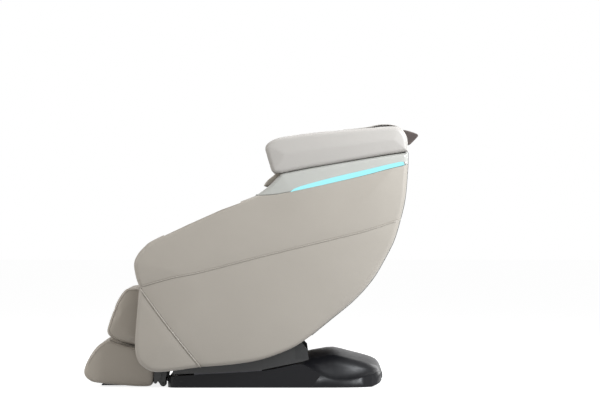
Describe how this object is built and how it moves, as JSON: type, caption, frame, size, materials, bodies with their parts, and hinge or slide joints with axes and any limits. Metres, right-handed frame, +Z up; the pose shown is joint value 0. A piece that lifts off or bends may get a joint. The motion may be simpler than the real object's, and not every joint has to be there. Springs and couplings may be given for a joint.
{
  "type": "massage chair",
  "caption": "Full-body massage chair with a reclining seat body on a low base, an L-shaped massage track, lifting calf rest and sliding foot rest.",
  "frame": {"origin": "centre of the chair's footprint on the floor, upright pose", "axes": "+X towards the back of the chair, +Y towards the sitter's right, +Z up"},
  "size_m": [1.421, 0.79, 1.1166],
  "materials": {
    "steel_dark": "satin",
    "steel_bright": "satin",
    "black_plastic": "satin",
    "black_rubber": "matte",
    "motor_casing": "satin",
    "switch_red": "gloss",
    "key_silver": "satin",
    "board": "matte",
    "panel_leather": "satin",
    "hood_leather": "satin",
    "trim_gloss": "gloss",
    "light_cyan": "glowing",
    "seat_leather": "satin",
    "leg_leather": "satin",
    "weave_brown": "woven",
    "roller_rubber": "matte"
  },
  "bodies": {
    "base": {"base_frame": "steel_dark", "base_cover": "black_plastic", "shrouds": "black_plastic", "rear_brackets": "black_rubber", "base_feet": "black_rubber", "power_inlet": "black_plastic", "recline_motor": "motor_casing"},
    "wheelset": {"transport_wheels": "black_rubber"},
    "switch": {"power_switch": "switch_red"},
    "recline_rod": {"recline_rod": "steel_bright"},
    "seat": {"main_frame": "steel_dark", "side_boards": "board", "side_panel_upper_left": "panel_leather", "side_panel_upper_right": "panel_leather", "side_panel_lower_left": "panel_leather", "side_panel_lower_right": "panel_leather", "accent_trim_left": "trim_gloss", "accent_trim_right": "trim_gloss", "light_bars": "light_cyan", "hood_wing_left": "hood_leather", "hood_wing_right": "hood_leather", "hood_center": "hood_leather", "back_cover": "black_plastic", "arm_pad_left": "seat_leather", "arm_pad_right": "seat_leather", "arm_liners": "seat_leather", "seat_board": "board", "seat_pad": "seat_leather", "back_pad": "seat_leather", "head_pillow": "seat_leather", "pillow_flap": "hood_leather", "flap_weight": "weave_brown", "shoulder_pads": "seat_leather", "track_rails": "steel_bright", "control_box": "black_plastic", "air_pump": "motor_casing", "control_pad": "black_plastic", "leg_motor": "motor_casing"},
    "power_key": {"key_power": "key_silver"},
    "recline_key": {"key_recline": "key_silver"},
    "carriage": {"carriage_frame": "steel_dark"},
    "knead_shaft": {"knead_shaft": "steel_bright"},
    "arm_left": {"massage_arm_left": "black_plastic"},
    "arm_right": {"massage_arm_right": "black_plastic"},
    "roller_ul": {"roller_upper_left": "roller_rubber"},
    "roller_ur": {"roller_upper_right": "roller_rubber"},
    "roller_ll": {"roller_lower_left": "roller_rubber"},
    "roller_lr": {"roller_lower_right": "roller_rubber"},
    "calf": {"calf_shell": "black_plastic", "calf_pad_left": "leg_leather", "calf_pad_right": "leg_leather", "calf_divider": "leg_leather"},
    "leg_rod": {"leg_rod": "steel_bright"},
    "foot": {"foot_cover": "leg_leather", "foot_base": "black_plastic", "foot_pads": "seat_leather"},
    "sole_rollers": {"sole_rollers": "black_rubber"},
    "floor_rollers": {"floor_rollers": "black_rubber"},
    "guide_rollers": {"guide_rollers": "black_rubber"}
  },
  "joints": [
    {"name": "recline", "type": "hinge", "parent": "base", "child": "seat", "pos_m": [-0.094, 0, 0.504], "axis": [0, 1, 0], "range_deg": [0, 24]},
    {"name": "recline_rod_slide", "type": "slide", "parent": "base", "child": "recline_rod", "axis": [-0.4206, 0, 0.9073], "range_m": [0, 0.10446]},
    {"name": "wheelset_spin", "type": "hinge", "parent": "base", "child": "wheelset", "pos_m": [0.395, 0, 0.029], "axis": [0, 1, 0], "continuous": true},
    {"name": "power_rocker", "type": "hinge", "parent": "base", "child": "switch", "pos_m": [0.541, -0.129, 0.045], "axis": [0, 1, 0], "range_deg": [-8, 8]},
    {"name": "leg_lift", "type": "hinge", "parent": "seat", "child": "calf", "pos_m": [-0.365, 0, 0.456], "axis": [0, 1, 0], "range_deg": [0, 45]},
    {"name": "leg_rod_slide", "type": "slide", "parent": "seat", "child": "leg_rod", "axis": [-0.8464, 0, 0.5325], "range_m": [0, 0.06882]},
    {"name": "foot_slide", "type": "slide", "parent": "calf", "child": "foot", "axis": [-0.2588, 0, -0.9659], "range_m": [0, 0.15]},
    {"name": "sole_roller_spin", "type": "hinge", "parent": "foot", "child": "sole_rollers", "pos_m": [-0.56, 0, 0.05], "axis": [0, 1, 0], "continuous": true},
    {"name": "floor_roller_spin", "type": "hinge", "parent": "foot", "child": "floor_rollers", "pos_m": [-0.375, 0, 0.019], "axis": [0, 1, 0], "continuous": true},
    {"name": "guide_roller_spin", "type": "hinge", "parent": "foot", "child": "guide_rollers", "pos_m": [-0.368, 0, 0.068], "axis": [0, 1, 0], "continuous": true},
    {"name": "carriage_travel", "type": "hinge", "parent": "seat", "child": "carriage", "pos_m": [-0.548, 0, 1.215], "axis": [0, 1, 0], "range_deg": [-17, 17]},
    {"name": "knead_spin", "type": "hinge", "parent": "carriage", "child": "knead_shaft", "pos_m": [0.38125, 0, 0.61154], "axis": [0, 1, 0], "continuous": true},
    {"name": "tap_left", "type": "hinge", "parent": "carriage", "child": "arm_left", "pos_m": [0.38125, -0.088, 0.61154], "axis": [0, 1, 0], "range_deg": [-5, 5]},
    {"name": "tap_right", "type": "hinge", "parent": "carriage", "child": "arm_right", "pos_m": [0.38125, 0.088, 0.61154], "axis": [0, 1, 0], "range_deg": [-5, 5]},
    {"name": "roller_ul_spin", "type": "hinge", "parent": "arm_left", "child": "roller_ul", "pos_m": [0.36066, -0.109, 0.70837], "axis": [0, 1, 0], "continuous": true},
    {"name": "roller_ur_spin", "type": "hinge", "parent": "arm_right", "child": "roller_ur", "pos_m": [0.36066, 0.109, 0.70837], "axis": [0, 1, 0], "continuous": true},
    {"name": "roller_ll_spin", "type": "hinge", "parent": "arm_left", "child": "roller_ll", "pos_m": [0.28442, -0.109, 0.59096], "axis": [0, 1, 0], "continuous": true},
    {"name": "roller_lr_spin", "type": "hinge", "parent": "arm_right", "child": "roller_lr", "pos_m": [0.28442, 0.109, 0.59096], "axis": [0, 1, 0], "continuous": true},
    {"name": "power_key_press", "type": "slide", "parent": "seat", "child": "power_key", "axis": [0, 1, 0], "range_m": [0, 0.0016], "stiffness_N_per_m": 400},
    {"name": "recline_key_press", "type": "slide", "parent": "seat", "child": "recline_key", "axis": [0, 1, 0], "range_m": [0, 0.0016], "stiffness_N_per_m": 400}
  ],
  "couplings": [
    {"joint": "recline_rod_slide", "follows": "recline", "m_per_rad": 0.24818},
    {"joint": "leg_rod_slide", "follows": "leg_lift", "m_per_rad": 0.086992},
    {"joint": "tap_right", "follows": "tap_left", "ratio": -1}
  ]
}
